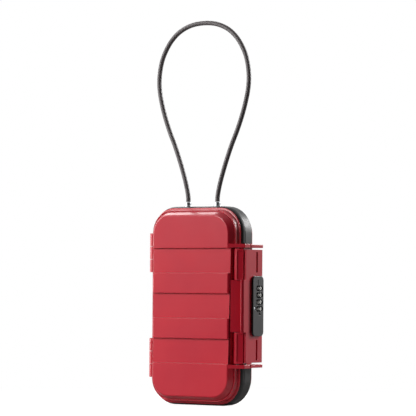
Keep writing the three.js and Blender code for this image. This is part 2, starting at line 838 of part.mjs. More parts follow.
// Detent comb: one spring tongue for each dial
const combX = [tubInner + fit / 2, tubInner + fit / 2 + combThickness];
const combFront = tubFront + tubWall + fit;
add(latch, 'detent_spring', joined([
  prismX(
    rectangle(combFront, combFront + combFoot, dialPackBottom + fit, dialPackTop - fit),
    ...combX,
  ),
  ...dialMiddles.map((z) => prismX(
    rectangle(combFront, dialY + dialRadius / 2, z - tongueWidth / 2, z + tongueWidth / 2),
    ...combX,
  )),
]), brass);

// Dials, each with the sleeve that carries its gate
function dialOutline() {
  const points = [];
  for (let i = 0; i < dialDigits; i += 1) {
    const step = (2 * Math.PI) / dialDigits;
    const start = i * step;
    for (const part of [-0.36, -0.12, 0.12, 0.36]) {
      const angle = start + part * step;
      points.push([dialRadius * Math.cos(angle), dialRadius * Math.sin(angle)]);
    }
    const valley = start + step / 2;
    const floor = dialRadius - dialNotch;
    points.push([floor * Math.cos(valley), floor * Math.sin(valley)]);
  }
  return points;
}

function sleeveOutline() {
  const gate = gateWidth / 2;
  const points = [];
  const start = Math.asin(gate / sleeveRadius);
  const sides = 18;
  for (let i = 0; i <= sides; i += 1) {
    const angle = start + ((2 * Math.PI - 2 * start) * i) / sides;
    points.push([sleeveRadius * Math.cos(angle), sleeveRadius * Math.sin(angle)]);
  }
  const root = dialBore + gateRoot;
  points.push([root, -gate], [root, gate]);
  return points;
}

for (const [i, z] of dialMiddles.entries()) {
  const half = dialThickness / 2;
  const dial = add(latch, `dial_${i + 1}`, prismZ(dialOutline(), -half, half, [
    circle(0, 0, dialBore),
  ]), dialBlack);
  dial.position.set(dialX, dialY, z);
  const sleeve = add(latch, `code_sleeve_${i + 1}`, prismZ(
    sleeveOutline(),
    -sleeveThickness / 2,
    sleeveThickness / 2,
    [circle(0, 0, dialBore)],
  ), brass);
  sleeve.position.set(dialX, dialY, z - dialPitch / 2);
}

// The spindle through the dials carries the bolt at its foot
const boltBottom = boltChamberBottom + boltFloor + boltTravel;
const boltTop = boltBottom + boltBlock;
const spindleTop = tubEdge - tubWall - bite;

add(latch, 'lock_spindle', turned([
  [0, boltTop + fit],
  [spindleRadius, boltTop + fit],
  [spindleRadius, spindleTop],
  [0, spindleTop],
], 12), steel).position.set(dialX, dialY, 0);
add(latch, 'lock_bolt', joined([
  box(boltNoseX - boltMargin, dialX + boltMargin, boltNoseY - boltMargin, dialY + boltMargin,
    boltBottom, boltTop),
  boltNose(0, -tubEdge - boltNoseProud, boltBottom + bite),
]), steel);

// Coil spring between the dial pack and the bolt
function coil(radius, wire, z0, z1, turns) {
  const steps = 8 * turns;
  const sides = 5;
  const positions = [];
  const index = [];
  for (let i = 0; i <= steps; i += 1) {
    const angle = (2 * Math.PI * turns * i) / steps;
    const z = z0 + wire + ((z1 - z0 - 2 * wire) * i) / steps;
    for (let j = 0; j < sides; j += 1) {
      const around = (2 * Math.PI * j) / sides;
      const reach = radius + wire * Math.cos(around);
      positions.push(reach * Math.cos(angle), reach * Math.sin(angle), z + wire * Math.sin(around));
    }
  }
  for (let i = 0; i < steps; i += 1) {
    for (let j = 0; j < sides; j += 1) {
      const here = i * sides + j;
      const next = i * sides + ((j + 1) % sides);
      index.push(here, next, here + sides, next, next + sides, here + sides);
    }
  }
  const last = steps * sides;
  for (let j = 1; j + 1 < sides; j += 1) {
    index.push(0, j + 1, j, last, last + j, last + j + 1);
  }
  const geometry = new THREE.BufferGeometry();
  geometry.setAttribute('position', new THREE.Float32BufferAttribute(positions, 3));
  geometry.setIndex(index);
  return solid(geometry);
}

add(latch, 'bolt_spring', coil(
  spindleRadius + springGap, springWire, boltTop + fit, boltChamberTop - fit, springTurns,
), steel).position.set(dialX, dialY, 0);

// Button that lets the combination be changed
const resetFace = housingOuter - resetSunk;
add(latch, 'reset_button', turned([
  [0, -resetLength],
  [resetRadius, -resetLength],
  [resetRadius, -resetChamfer],
  [resetRadius - resetChamfer, 0],
  [0, 0],
], 16).rotate([0, 90, 0]), steel).position.set(resetFace, resetY, resetZ);

// Screws, made head down on the origin and turned to where they go
function screw(length) {
  return turned([
    [0, -screwHead],
    [screwHeadRadius - screwEdge, -screwHead],
    [screwHeadRadius, -screwHead + screwEdge],
    [screwHeadRadius, 0],
    [screwRadius, 0],
    [screwRadius, length],
    [0, length],
  ], 16);
}

for (const [i, [y, z]] of housingScrews.entries()) {
  const mesh = add(
    latch,
    ['housing_screw_upper', 'housing_screw_lower'][i],
    screw(housingOuter - coverThickness - flapInner),
    steel,
  );
  mesh.position.set(flapInner - fit, y, z);
  mesh.rotation.y = Math.PI / 2;
}
for (const [i, [y, z]] of backScrews.entries()) {
  add(
    latch,
    ['back_screw_upper', 'back_screw_lower'][i],
    sunkHead(0).add(crossRod(0, 0, screwRadius, screwHead - bite / 2, backScrewReach)),
    steel,
  ).position.set(plateInner, y, z);
}

// Keeper on the side wall, under the lock
add(base, 'lock_keeper', without(joined([
  box(keeperX, keeperX + keeperThickness, boltNoseY - keeperReach[0], boltNoseY + keeperReach[1],
    keeperTop - keeperFlange, keeperTop),
  box(keeperX, flapInner - keeperGap, boltNoseY - keeperReach[0], boltNoseY + keeperReach[0],
    keeperTop - keeperThickness, keeperTop),
]), [
  boltNose(fit, -far, 0),
  ...keeperScrews.map((y) => crossRod(y, keeperScrewZ, screwRadius + fit, 0, far)),
]), steel);
for (const [i, y] of keeperScrews.entries()) {
  const mesh = add(
    base,
    ['keeper_screw_front', 'keeper_screw_rear'][i],
    screw(keeperThickness + 2 * fit + 0.6 * wall),
    steel,
  );
  mesh.position.set(keeperX + keeperThickness + fit, y, keeperScrewZ);
  mesh.rotation.y = -Math.PI / 2;
}

// Cable: two crimped ferrules through the top, an eyelet round each, and a retainer inside
const ferruleTop = halfHeight + ferruleProud;
for (const [i, x] of cableEnds.entries()) {
  const side = ['left', 'right'][i];
  add(base, `cable_ferrule_${side}`, turned([
    [0, collarBottom],
    [collarRadius, collarBottom],
    [collarRadius, collarTop],
    [ferruleRadius, collarTop],
    [ferruleRadius, ferruleTop - ferruleRound],
    [ferruleRadius - ferruleRound, ferruleTop],
    [0, ferruleTop],
  ]), steel).position.set(x, cableY, 0);
  const inner = ferruleRadius + fit;
  const foot = halfHeight + fit / 2;
  add(base, `cable_eyelet_${side}`, turned([
    [inner, foot],
    [inner + eyeletWidth, foot],
    [inner + eyeletWidth, foot + eyeletHeight / 2],
    [inner + eyeletWidth / 2, foot + eyeletHeight],
    [inner, foot + eyeletHeight],
    [inner, foot],
  ]), steel).position.set(x, cableY, 0);
}

const retainerHalf = cableSpread / 2 + collarRadius + retainerMargin;
add(base, 'cable_retainer', without(
  box(-retainerHalf, retainerHalf, baseSeam + fit, cableY + collarRadius,
    retainerBottom, retainerTop),
  posts.map((x) => rod(x, cableY, screwRadius + fit, 0, far)),
), steel);
for (const [i, x] of posts.entries()) {
  const mesh = add(
    base,
    ['retainer_screw_left', 'retainer_screw_right'][i],
    screw(postBoreTop - retainerBottom),
    steel,
  );
  mesh.position.set(x, cableY, retainerBottom - fit);
}

// The free stretch of the cable, one half as distance from the middle and height above the box
const cableHalf = [
  [18.1, 11.3], [20.6, 22.3], [24, 33.3], [28.6, 46.3], [34.6, 61.3], [40.6, 74.3],
  [46.2, 88.3], [50.7, 102.3], [53.7, 115.3], [54.7, 126.3], [53.7, 138.3], [50.9, 149.3],
  [46, 159.3], [39.4, 168.3], [29.9, 176.3], [16, 182.2],
];

function cableLoop() {
  const start = cableSpread / 2;
  const foot = ferruleProud + fit;
  const rising = [[start, foot], [start, foot + ferruleRadius], ...cableHalf];
  const path = [
    ...rising.map(([x, z]) => new THREE.Vector3(-x, cableY, halfHeight + z)),
    new THREE.Vector3(0, cableY, halfHeight + cableTop),
    ...rising.reverse().map(([x, z]) => new THREE.Vector3(x, cableY, halfHeight + z)),
  ];
  const geometry = new THREE.ExtrudeGeometry(shapeOf(circle(0, 0, cableRadius, 10)), {
    steps: 44,
    bevelEnabled: false,
    extrudePath: new THREE.CatmullRomCurve3(path),
  });
  return solid(geometry);
}

add(base, 'cable_loop', cableLoop(), vinyl);

export default safe;
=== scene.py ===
# %% [markdown]
# # A portable car safe, dressed in Blender
#
# The safe is two moulded shells that open like a book. A black bumper runs round each of them,
# a hinged latch with a four-dial lock holds them shut, and a coated steel cable loops from the
# top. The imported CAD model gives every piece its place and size. This script gives the pieces
# their edges, their small details and their finishes.

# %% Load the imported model
import json
from math import cos, pi, radians, sin

import bmesh
import bpy
from mathutils import Matrix, Vector


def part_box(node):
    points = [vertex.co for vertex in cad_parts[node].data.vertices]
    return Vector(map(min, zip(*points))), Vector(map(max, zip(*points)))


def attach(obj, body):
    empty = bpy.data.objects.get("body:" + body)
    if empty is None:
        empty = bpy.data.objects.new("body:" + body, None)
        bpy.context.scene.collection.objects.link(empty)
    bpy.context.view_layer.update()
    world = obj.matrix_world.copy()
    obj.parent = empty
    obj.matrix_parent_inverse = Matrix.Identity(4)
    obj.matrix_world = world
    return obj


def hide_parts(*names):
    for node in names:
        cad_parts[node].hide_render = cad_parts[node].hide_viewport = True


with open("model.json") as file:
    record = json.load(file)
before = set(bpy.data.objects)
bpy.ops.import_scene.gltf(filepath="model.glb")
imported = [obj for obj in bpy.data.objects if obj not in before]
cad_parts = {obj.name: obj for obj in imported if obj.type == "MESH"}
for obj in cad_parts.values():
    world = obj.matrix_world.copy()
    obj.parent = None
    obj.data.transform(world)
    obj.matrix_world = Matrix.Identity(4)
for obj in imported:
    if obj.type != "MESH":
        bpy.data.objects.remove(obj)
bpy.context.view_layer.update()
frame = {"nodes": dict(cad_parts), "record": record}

MM = 0.001
nodes = frame["nodes"]
home = {node: body for body, members in frame["record"]["behaviour"]["bodies"].items()
        for node in members}

# %% [markdown]
# ## The camera
#
# The safe is seen from 35 degrees to its latch side, almost level and from far away, so that
# its upright edges stay parallel. A long lens from 2.6 m gives that, at one millimetre to a
# pixel. The camera stands at the height where nothing is seen from above or below, and looks
# up a little to take in the cable.

# %% Camera
VIEW_ANGLE = radians(35)
VIEW_DISTANCE = 2.6
EYE_HEIGHT = 0.1226
PICTURE_WIDTH = 0.416  # how wide a strip the picture shows at the safe
PICTURE_MIDDLE = 0.1966  # height at the middle of the picture
PICTURE_RIGHT = 0.0055  # how far right of the safe's own middle the picture's middle lies
ROLL = radians(0.36)  # the picture leans by this much
SENSOR_WIDTH = 36  # of the camera, in millimetres, as the lens is

camera_data = bpy.data.cameras.new("camera")
camera_data.sensor_width = SENSOR_WIDTH
camera_data.lens = SENSOR_WIDTH * VIEW_DISTANCE / PICTURE_WIDTH
camera = bpy.data.objects.new("camera", camera_data)
eye = Vector((0, -VIEW_DISTANCE, EYE_HEIGHT))
ahead = Vector((PICTURE_RIGHT, 0, PICTURE_MIDDLE)) - eye
camera.matrix_world = (
    Matrix.Rotation(VIEW_ANGLE, 4, "Z")
    @ Matrix.Translation(eye)
    @ ahead.to_track_quat("-Z", "Y").to_matrix().to_4x4()
    @ Matrix.Rotation(ROLL, 4, "Z")
)
scene = bpy.context.scene
scene.collection.objects.link(camera)
scene.camera = camera
scene.view_settings.view_transform = "Standard"
print("lens", round(camera_data.lens), "mm")

# %% [markdown]
# ## Colours and nodes
#
# Colours are written as the hex values that a picture editor shows. Blender's shaders work on
# linear light, so one function converts them. A second one adds a node with its settings and its
# inputs, given as values, as sockets, or as the nodes whose first output feeds them. The others
# are recipes that the finishes share: noise of a known size, a value or a colour that wanders
# between two, and a skin of a known depth.

# %% Helpers for materials
COLOUR_A, COLOUR_B, COLOUR_OUT = 6, 7, 2  # a Mix node's sockets when it mixes colours


def paint(code):
    """A hex colour as linear red, green, blue and alpha"""
    channels = [int(code[i:i + 2], 16) / 255 for i in (1, 3, 5)]
    return [c / 12.92 if c <= 0.04045 else ((c + 0.055) / 1.055) ** 2.4 for c in channels] + [1]


def put(tree, kind, inputs=None, **settings):
    """A new node: settings are its properties, inputs are values, sockets or nodes to read"""
    made = tree.nodes.new(kind)
    for name, value in settings.items():
        setattr(made, name, value)
    for name, value in (inputs or {}).items():
        if isinstance(value, bpy.types.Node):
            value = value.outputs[0]
        if isinstance(value, bpy.types.NodeSocket):
            tree.links.new(value, made.inputs[name])
        else:
            made.inputs[name].default_value = value
    return made


def new_material(name):
    """A material with an empty node tree, and that tree"""
    material = bpy.data.materials.new(name)
    material.use_nodes = True
    material.node_tree.nodes.clear()
    print("material", name)
    return material, material.node_tree


def grain(tree, size, detail=2, stretch=(1, 1, 1)):
    """Noise whose blotches are about size metres across, from the object's own coordinates"""
    place = put(tree, "ShaderNodeTexCoord").outputs["Object"]
    scaled = put(tree, "ShaderNodeMapping", {"Vector": place, "Scale": stretch})
    return put(tree, "ShaderNodeTexNoise", {
        "Vector": scaled, "Scale": 1 / size, "Detail": detail, "Roughness": 0.5,
    })


def wander(tree, size, low, high, **noise):
    """A value that wanders between two in blotches of a size"""
    return put(tree, "ShaderNodeMapRange", {
        "Value": grain(tree, size, **noise), "From Min": 0.3, "From Max": 0.7,
        "To Min": low, "To Max": high,
    })


def patches(tree, size, first, second):
    """A colour that wanders between two hex colours in blotches of a size"""
    return put(tree, "ShaderNodeMix", {
        "Factor": wander(tree, size, 0, 1), COLOUR_A: paint(first), COLOUR_B: paint(second),
    }, data_type="RGBA").outputs[COLOUR_OUT]


def skin(tree, size, depth, **noise):
    """The relief of a skin whose grains have a size and a depth in metres"""
    return put(tree, "ShaderNodeBump", {
        "Height": grain(tree, size, **noise), "Distance": depth, "Strength": 1,
    })


print("red paint in linear light", [round(c, 3) for c in paint("#b3142a")])

# %% [markdown]
# ## The cable
#
# The cable is a twisted steel rope inside a clear coat of smoke-grey vinyl. It leaves one
# ferrule, rises in a pear-shaped loop that its own stiffness holds up, and goes back into the
# other. Its line is a smooth curve through listed points, the same on both sides.
# A small node tree sweeps a ring along that line and keeps, for every vertex, its place round
# the ring and its distance along the cable, so that the rope's twist can follow the bends. A
# curve with a round bevel would be simpler, but it can't hold such values.

# %% The cable's route
CABLE_RADIUS = 2.3 * MM
CABLE_DEPTH = 0.6 * MM  # y of the loop's plane
BOX_TOP = 198 * MM
STEPS = 12  # between two points of the route
FERRULE_X = 17.8  # in millimetres, as the route is
FERRULE_TOP = 4.9
CABLE_HALF = [  # millimetres to the side and above the box, from a ferrule up
    (FERRULE_X, FERRULE_TOP), (FERRULE_X, 7.9),
    (18.1, 11.3), (20.6, 22.3), (24, 33.3), (28.6, 46.3), (34.6, 61.3), (40.6, 74.3),
    (46.2, 88.3), (50.7, 102.3), (53.7, 115.3), (54.7, 126.3), (53.7, 138.3), (50.9, 149.3),
    (46, 159.3), (39.4, 168.3), (29.9, 176.3), (16, 182.2),
]
CABLE_CREST = (0, 184)

cable_points = [Vector((side * x * MM, CABLE_DEPTH, BOX_TOP + z * MM)) for side, half in (
    (-1, CABLE_HALF), (1, [CABLE_CREST] + CABLE_HALF[::-1])) for x, z in half]


def smooth_line(points, steps):
    """A centripetal Catmull-Rom curve through points, with steps between each two"""
    ends = [2 * points[0] - points[1]] + points + [2 * points[-1] - points[-2]]
    line = []
    for a, b, c, d in zip(ends, ends[1:], ends[2:], ends[3:]):
        t1 = (b - a).length ** 0.5
        t2 = t1 + (c - b).length ** 0.5
        t3 = t2 + (d - c).length ** 0.5
        for i in range(steps):
            t = t1 + (t2 - t1) * i / steps
            ab = a.lerp(b, t / t1)
            bc = b.lerp(c, (t - t1) / (t2 - t1))
            cd = c.lerp(d, (t - t2) / (t3 - t2))
            abc = ab.lerp(bc, t / t2)
            bcd = bc.lerp(cd, (t - t1) / (t3 - t1))
            line.append(abc.lerp(bcd, (t - t1) / (t2 - t1)))
    return line + [points[-1]]


cable_line = smooth_line(cable_points, STEPS)

# %% Tools for node trees that make pieces


def new_tree(name, sizes):
    """A geometry tree with a named input for each size, and the sockets of its inputs"""
    tree = bpy.data.node_groups.new(name, "GeometryNodeTree")
    tree.interface.new_socket("Geometry", in_out="INPUT", socket_type="NodeSocketGeometry")
    for label, value in sizes.items():
        kind = "NodeSocketInt" if isinstance(value, int) else "NodeSocketFloat"
        tree.interface.new_socket(label, in_out="INPUT", socket_type=kind).default_value = value
    tree.interface.new_socket("Geometry", in_out="OUTPUT", socket_type="NodeSocketGeometry")
    return tree, put(tree, "NodeGroupInput").outputs


def grown(start, tree, sizes, name):
    """Runs a tree on an object and keeps the result as a plain mesh under a name"""
    modifier = start.modifiers.new(tree.name, "NODES")
    modifier.node_group = tree
    for item in tree.interface.items_tree:
        if item.in_out == "INPUT" and item.name in sizes:
            modifier[item.identifier] = sizes[item.name]
    bpy.context.view_layer.update()
    result = start.evaluated_get(bpy.context.evaluated_depsgraph_get())
    mesh = bpy.data.meshes.new_from_object(result)
    bpy.data.objects.remove(start)
    piece = bpy.data.objects.new(name, mesh)
    mesh.name = name
    scene.collection.objects.link(piece)
    print(name, len(mesh.polygons), "faces")
    return piece


# %% [markdown]
# Smoke-grey vinyl is slightly cloudy, with a silky shine. The six wires of the rope show as
# slanting bands, with painted light on their crowns and painted shade in the grooves between
# them, and they lift its surface a little. The real strands are finer; they are drawn at a pitch
# that a picture of this size can still show.

# %% Vinyl over twisted wire
STRANDS = 6
ROPE_PITCH = 26 * MM  # length of one full turn of a strand
ROPE_RELIEF = 0.08 * MM
CLOUD = 3 * MM

vinyl, tree = new_material("smoke vinyl over steel rope")
section = put(tree, "ShaderNodeAttribute", attribute_name="section").outputs["Vector"]
along = put(tree, "ShaderNodeAttribute", attribute_name="along").outputs["Fac"]
split = put(tree, "ShaderNodeSeparateXYZ", {"Vector": section}).outputs
turn = put(tree, "ShaderNodeMath", {0: split["Y"], 1: split["X"]}, operation="ARCTAN2")
twist = put(tree, "ShaderNodeMath", {0: along, 1: 2 * pi / ROPE_PITCH}, operation="MULTIPLY")
turned = put(tree, "ShaderNodeMath", {0: turn, 1: twist}, operation="ADD")
strand = put(tree, "ShaderNodeMath", {0: turned, 1: STRANDS}, operation="MULTIPLY")
wave = put(tree, "ShaderNodeMath", {0: strand}, operation="SINE")
wire = put(tree, "ShaderNodeMapRange", {"Value": wave, "From Min": -1, "From Max": 1})
# painted light and shade: the strands' crowns are lighter and the grooves darker, dimmed where the
# vinyl is cloudy
painted_strand_shading = put(tree, "ShaderNodeMath", {
    0: wire, 1: wander(tree, CLOUD, 0.0, 0.35),
}, operation="SUBTRACT", use_clamp=True)
colour = put(tree, "ShaderNodeMix", {
    "Factor": painted_strand_shading, COLOUR_A: paint("#3d3738"), COLOUR_B: paint("#5e5657"),
}, data_type="RGBA").outputs[COLOUR_OUT]
ridges = put(tree, "ShaderNodeBump", {"Height": wire, "Distance": ROPE_RELIEF, "Strength": 1})
shader = put(tree, "ShaderNodeBsdfPrincipled", {
    "Base Color": colour, "Roughness": 0.5, "IOR": 1.53, "Normal": ridges,
})
put(tree, "ShaderNodeOutputMaterial", {"Surface": shader})

# %% Sweep the cable
CABLE_SIZES = {"Radius": CABLE_RADIUS, "Sides": 24, "Step": 2 * MM}
tree, given = new_tree("cable sweep", CABLE_SIZES)
spaced = put(tree, "GeometryNodeResampleCurve", {
    "Curve": given["Geometry"], "Length": given["Step"],
}, mode="LENGTH")
distance = put(tree, "GeometryNodeSplineParameter").outputs["Length"]
marked = put(tree, "GeometryNodeStoreNamedAttribute", {
    "Geometry": spaced, "Name": "along", "Value": distance,
}, data_type="FLOAT", domain="POINT")
ring = put(tree, "GeometryNodeCurvePrimitiveCircle", {
    "Resolution": given["Sides"], "Radius": given["Radius"],
})
place = put(tree, "GeometryNodeInputPosition")
outward = put(tree, "ShaderNodeVectorMath", {0: place}, operation="NORMALIZE")
ring_marked = put(tree, "GeometryNodeStoreNamedAttribute", {
    "Geometry": ring, "Name": "section", "Value": outward,
}, data_type="FLOAT_VECTOR", domain="POINT")
swept = put(tree, "GeometryNodeCurveToMesh", {
    "Curve": marked, "Profile Curve": ring_marked, "Fill Caps": True,
})
smooth = put(tree, "GeometryNodeSetShadeSmooth", {"Geometry": swept})
solid = put(tree, "GeometryNodeRealizeInstances", {"Geometry": smooth})
coated = put(tree, "GeometryNodeSetMaterial", {"Geometry": solid, "Material": vinyl})
put(tree, "NodeGroupOutput", {"Geometry": coated})

guide_data = bpy.data.curves.new("cable guide", "CURVE")
guide_data.dimensions = "3D"
spline = guide_data.splines.new("POLY")
spline.points.add(len(cable_line) - 1)
for point, place in zip(spline.points, cable_line):
    point.co = (*place, 1)
guide = bpy.data.objects.new("cable guide", guide_data)
scene.collection.objects.link(guide)
cable = grown(guide, tree, CABLE_SIZES, "coated_cable")

# %% [markdown]
# ## The studio
#
# Glossy plastic is lit by what it mirrors. The front left softbox stands above the line that
# the face mirrors to the camera, so it colours the face fully and lays only a thin white veil
# on it, stronger towards the top. A low one further left keeps the left edges bright. One at
# the back right gives the bumper its grey sheen. The last one, high at the back, draws the white
# line along the upper bevel.
#
# The lamps themselves stay out of the picture, and their power is just enough that a colour
# shows about as it is written.

# %% Four lamps
LIT_POINT = Vector((0, 0, 0.1))


def softbox(name, azimuth, elevation, distance, width, height, power):
    """A rectangular lamp at a bearing and a height in degrees, that faces the safe's middle"""
    towards = Vector((cos(radians(azimuth)), sin(radians(azimuth)), 0)) * cos(radians(elevation))
    towards.z = sin(radians(elevation))
    data = bpy.data.lights.new(name, "AREA")
    data.shape = "RECTANGLE"
    data.size = width
    data.size_y = height
    data.energy = power
    lamp = bpy.data.objects.new(name, data)
    lamp.visible_camera = False
    lamp.location = LIT_POINT + distance * towards
    lamp.rotation_euler = (-towards).to_track_quat("-Z", "Y").to_euler()
    scene.collection.objects.link(lamp)
    print(name, [round(c, 2) for c in lamp.location])


softbox("front left softbox", azimuth=-112, elevation=26, distance=1.5,
        width=0.7, height=0.7, power=16.5)
softbox("low left softbox", azimuth=-156, elevation=10, distance=1.5,
        width=0.4, height=0.8, power=17)
softbox("back right softbox", azimuth=60, elevation=28, distance=1.2,
        width=0.4, height=0.4, power=15)
softbox("top back softbox", azimuth=142, elevation=43, distance=1.5,
        width=0.7, height=0.5, power=6.5)

# %% [markdown]
# The room sends a little light from everywhere, and the camera itself sees plain white. Glossy
# faces mirror that white, a quarter dimmer, to the left, to the right and behind the safe, and
# what is seen through clear matter is as bright. Only the camera's own side is dark, as a studio
# is behind its lamps. That is what the sloping sides mirror, so they stay deep red, while a veil
# lies on the latch plate and the lock.

# %% The room
AMBIENT = 0.05
MIRRORED = 0.75  # how bright the white background is in a mirror
DARK_FROM = 0.1  # cosine of the angle to the camera where the background starts to darken
DARK_TO = 0.6  # and where it is dark


def backdrop(tree, direction):
    """The background's strength in a direction: white for the camera, less so for mirrors"""
    rays = put(tree, "ShaderNodeLightPath").outputs
    towards = put(tree, "ShaderNodeVectorMath", {
        0: direction, 1: (sin(VIEW_ANGLE), -cos(VIEW_ANGLE), 0),
    }, operation="DOT_PRODUCT")
    bright = put(tree, "ShaderNodeMapRange", {
        "Value": towards.outputs["Value"], "From Min": DARK_FROM, "From Max": DARK_TO,
        "To Min": MIRRORED, "To Max": 0,
    }, interpolation_type="SMOOTHSTEP")
    mirrors = put(tree, "ShaderNodeMath", {
        0: rays["Is Glossy Ray"], 1: rays["Is Transmission Ray"],
    }, operation="MAXIMUM")
    mirrored = put(tree, "ShaderNodeMath", {0: mirrors, 1: bright}, operation="MULTIPLY")
    return put(tree, "ShaderNodeMath", {
        0: rays["Is Camera Ray"], 1: mirrored,
    }, operation="MAXIMUM")


world = bpy.data.worlds.new("studio")
scene.world = world
world.use_nodes = True
tree = world.node_tree
tree.nodes.clear()
way_out = put(tree, "ShaderNodeTexCoord").outputs["Generated"]
level = put(tree, "ShaderNodeMix", {
    "Factor": backdrop(tree, way_out), "A": AMBIENT, "B": 1.0,
}, data_type="FLOAT")
background = put(tree, "ShaderNodeBackground", {"Color": (1, 1, 1, 1), "Strength": level})
put(tree, "ShaderNodeOutputWorld", {"Surface": background})
print("light from everywhere", AMBIENT, "and white in mirrors", MIRRORED)

# %% [markdown]
# The floor is white too. Near the safe it is a pale sheet that takes the shadows, lifted to
# white by a glow that only the camera sees. Further out it fades into the background, as a sweep
# of paper does. There it shows to the camera and in mirrors alone, so that it doesn't light the
# safe from below.

# %% The floor
FLOOR_REACH = 6
FLOOR_GLOW = 0.75  # what lifts the lit floor to white
FADE_FROM = 0.12  # from the safe's middle
FADE_TO = 0.4

floor_mesh = bpy.data.meshes.new("floor")
corners = [
    (x * FLOOR_REACH, y * FLOOR_REACH, 0) for x, y in ((-1, -1), (1, -1), (1, 1), (-1, 1))
]
floor_mesh.from_pydata(corners, [], [(0, 1, 2, 3)])
floor = bpy.data.objects.new("floor", floor_mesh)
scene.collection.objects.link(floor)

white_floor, tree = new_material("white floor")
matt = put(tree, "ShaderNodeBsdfDiffuse", {"Color": paint("#b4b4b4")})
camera_only = put(tree, "ShaderNodeLightPath").outputs["Is Camera Ray"]
lift = put(tree, "ShaderNodeMath", {0: camera_only, 1: FLOOR_GLOW}, operation="MULTIPLY")
glow = put(tree, "ShaderNodeEmission", {"Strength": lift})
near = put(tree, "ShaderNodeAddShader", {0: matt, 1: glow})
place = put(tree, "ShaderNodeNewGeometry").outputs["Position"]
away = put(tree, "ShaderNodeVectorMath", {0: place}, operation="LENGTH").outputs["Value"]
fade = put(tree, "ShaderNodeMapRange", {
    "Value": away, "From Min": FADE_FROM, "From Max": FADE_TO,
}, interpolation_type="SMOOTHSTEP")
bearing = put(tree, "ShaderNodeVectorMath", {0: place}, operation="NORMALIZE")
far = put(tree, "ShaderNodeEmission", {"Strength": backdrop(tree, bearing)})
whole = put(tree, "ShaderNodeMixShader", {0: fade, 1: near, 2: far})
put(tree, "ShaderNodeOutputMaterial", {"Surface": whole})
floor_mesh.materials.append(white_floor)
print("floor white beyond", FADE_TO, "m")

# %% [markdown]
# ## Finishes
#
# Each finish starts from a real material: its usual colour and gloss, the way its surface was
# made, and the size of the marks that the making leaves.
#
# The shells, the latch and the hinges are glossy moulded ABS in a deep red. Wear on the mould
# leaves a faint orange peel about 3 mm across and a few thousandths of a millimetre deep. The
# pigment varies a little over a hand's breadth, and the shine over a finger's.

# %% Red ABS
red_abs, tree = new_material("glossy red moulded ABS")
shader = put(tree, "ShaderNodeBsdfPrincipled", {
    "Base Color": patches(tree, 45 * MM, "#b3142a", "#bb1a2c"),
    "Roughness": wander(tree, 12 * MM, 0.29, 0.31), "IOR": 1.54,
    "Normal": skin(tree, 3 * MM, 0.004 * MM),
})
put(tree, "ShaderNodeOutputMaterial", {"Surface": shader})

# %% [markdown]
# The bumpers are moulded from a firm thermoplastic rubber against a finely blasted tool. They
# are near black, with a broad soft shine and a skin of grains half a millimetre across.

# %% Black bumper
bumper_black, tree = new_material("black thermoplastic rubber")
shader = put(tree, "ShaderNodeBsdfPrincipled", {
    "Base Color": patches(tree, 20 * MM, "#0f0f0f", "#171716"),
    "Roughness": wander(tree, 4 * MM, 0.46, 0.52), "IOR": 1.5,
    "Normal": skin(tree, 0.5 * MM, 0.008 * MM),
})
put(tree, "ShaderNodeOutputMaterial", {"Surface": shader})

# %% [markdown]
# The lock's housing is glass-filled nylon from a spark-eroded mould: near black with a fine
# even grain. The real grain is about 0.2 mm. It is drawn twice as coarse so that it shows.

# %% Lock housing
lock_grey, tree = new_material("spark-grained dark grey nylon")
shader = put(tree, "ShaderNodeBsdfPrincipled", {
    "Base Color": patches(tree, 0.8 * MM, "#19181a", "#222123"),
    "Roughness": wander(tree, 3 * MM, 0.36, 0.46), "IOR": 1.53,
    "Normal": skin(tree, 0.4 * MM, 0.02 * MM),
})
put(tree, "ShaderNodeOutputMaterial", {"Surface": shader})

# %% [markdown]
# The dials are black acetal, which is slightly waxy to the touch. Their figures are moulded
# hollow and filled with white enamel.

# %% Dials and their figures
dial_black, tree = new_material("black acetal")
shader = put(tree, "ShaderNodeBsdfPrincipled", {
    "Base Color": patches(tree, 2 * MM, "#242425", "#2f2f31"),
    "Roughness": wander(tree, 1 * MM, 0.34, 0.44), "IOR": 1.48,
    "Normal": skin(tree, 0.3 * MM, 0.01 * MM),
})
put(tree, "ShaderNodeOutputMaterial", {"Surface": shader})

white_enamel, tree = new_material("white enamel filling")
shader = put(tree, "ShaderNodeBsdfPrincipled", {
    "Base Color": patches(tree, 0.6 * MM, "#f1f0ec", "#dedcd6"), "Roughness": 0.35,
})
put(tree, "ShaderNodeOutputMaterial", {"Surface": shader})

# %% [markdown]
# Pins, screws, ferrules, the retainer and the lock's works are steel with a bright zinc plate:
# a pale grey mirror, dulled in patches by the bath, with fine upright lines from drawing and
# turning the steel.

# %% Zinc-plated steel
LINE_BREADTH = 1.2 * MM
LINES = {"detail": 3, "stretch": (1, 1, 0.06)}  # noise that is drawn out upwards

zinc_steel, tree = new_material("bright zinc-plated steel")
shader = put(tree, "ShaderNodeBsdfPrincipled", {
    "Base Color": patches(tree, 3 * MM, "#b4b7bb", "#c8cacc"),
    "Metallic": 1.0, "Roughness": wander(tree, LINE_BREADTH, 0.22, 0.4, **LINES),
    "Normal": skin(tree, LINE_BREADTH, 0.01 * MM, **LINES),
})
put(tree, "ShaderNodeOutputMaterial", {"Surface": shader})

# %% [markdown]
# The code sleeves inside the dials and the comb that clicks against them are stamped and turned
# brass: a warm yellow with a slight tarnish in patches, and fine marks of the tools.

# %% Brass
rolled_brass, tree = new_material("rolled spring brass")
shader = put(tree, "ShaderNodeBsdfPrincipled", {
    "Base Color": patches(tree, 2.5 * MM, "#b8964f", "#a6823f"),
    "Metallic": 1.0, "Roughness": wander(tree, 1 * MM, 0.26, 0.42, detail=3),
    "Normal": skin(tree, 0.6 * MM, 0.008 * MM),
})
put(tree, "ShaderNodeOutputMaterial", {"Surface": shader})

